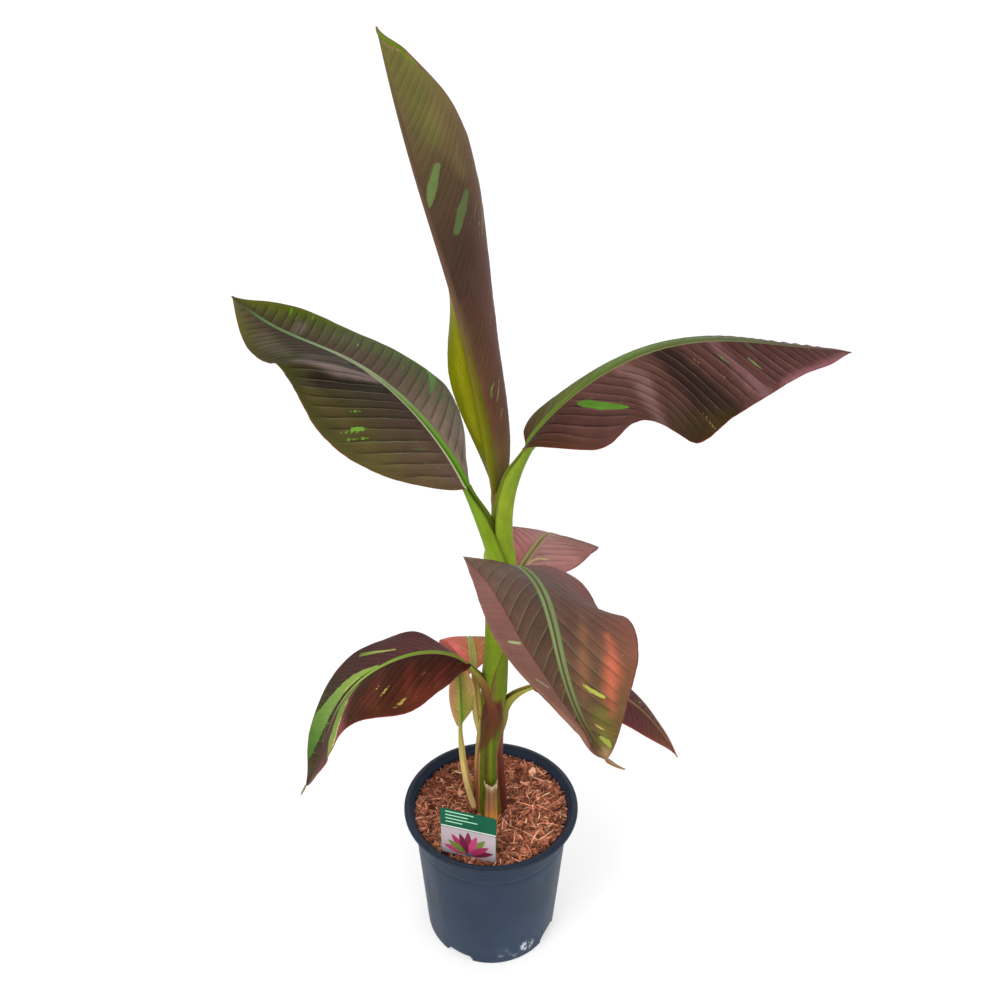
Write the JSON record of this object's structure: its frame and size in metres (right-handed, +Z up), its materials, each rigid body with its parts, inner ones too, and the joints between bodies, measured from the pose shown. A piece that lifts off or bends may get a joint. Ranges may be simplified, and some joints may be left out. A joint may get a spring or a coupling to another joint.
{
  "type": "potted banana plant",
  "caption": "Young red-leaved banana plant with a sheathed stem, arching grooved stalks and long ribbed blades, in a round nursery pot of bark mulch with a label on a stake.",
  "frame": {"origin": "centre of the pot's flat underside, on the floor that the pot stands on", "axes": "+Z up along the plant, +X to the plant's right as seen from the front, -Y towards the front, where the label stands"},
  "size_m": [0.5882, 0.4918, 0.9052],
  "materials": {
    "pot_plastic": "slate grey moulded plastic, faintly glossy, dusty",
    "mulch": "fibrous shredded bark, red-brown, rough",
    "label_card": "printed plastic card",
    "stem": "smooth overlapping leaf sheaths, lime green streaked maroon",
    "dry_sheath": "papery dried sheath",
    "leaf_stalk": "smooth grooved leaf stalk, green with red edges",
    "leaf_back_left": "satin ribbed leaf blade with red margin",
    "leaf_right": "satin ribbed leaf blade with red margin",
    "leaf_upright": "satin ribbed leaf blade with red margin",
    "leaf_front": "satin ribbed leaf blade with red margin",
    "leaf_back_right": "satin ribbed leaf blade with red margin",
    "leaf_low_left": "satin ribbed leaf blade with red margin",
    "leaf_low_right": "satin ribbed leaf blade with red margin",
    "leaf_low_back": "satin ribbed leaf blade with red margin",
    "leaf_basal": "satin ribbed leaf blade with red margin"
  },
  "bodies": {
    "root": {"pot": "pot_plastic", "mulch": "mulch", "label": "label_card", "stem": "stem", "dry_sheath": "dry_sheath", "stalk_back_left": "leaf_stalk", "stalk_right": "leaf_stalk", "stalk_upright": "leaf_stalk", "stalk_front": "leaf_stalk", "stalk_back_right": "leaf_stalk", "stalk_low_left": "leaf_stalk", "stalk_low_right": "leaf_stalk", "stalk_low_back": "leaf_stalk", "stalk_basal": "leaf_stalk", "blade_back_left": "leaf_back_left", "blade_right": "leaf_right", "blade_upright": "leaf_upright", "blade_front": "leaf_front", "blade_back_right_near": "leaf_back_right", "blade_back_right_far": "leaf_back_right", "blade_low_left_near": "leaf_low_left", "blade_low_left_far": "leaf_low_left", "blade_low_right": "leaf_low_right", "blade_low_back_near": "leaf_low_back", "blade_low_back_far": "leaf_low_back", "blade_basal": "leaf_basal"}
  },
  "joints": []
}
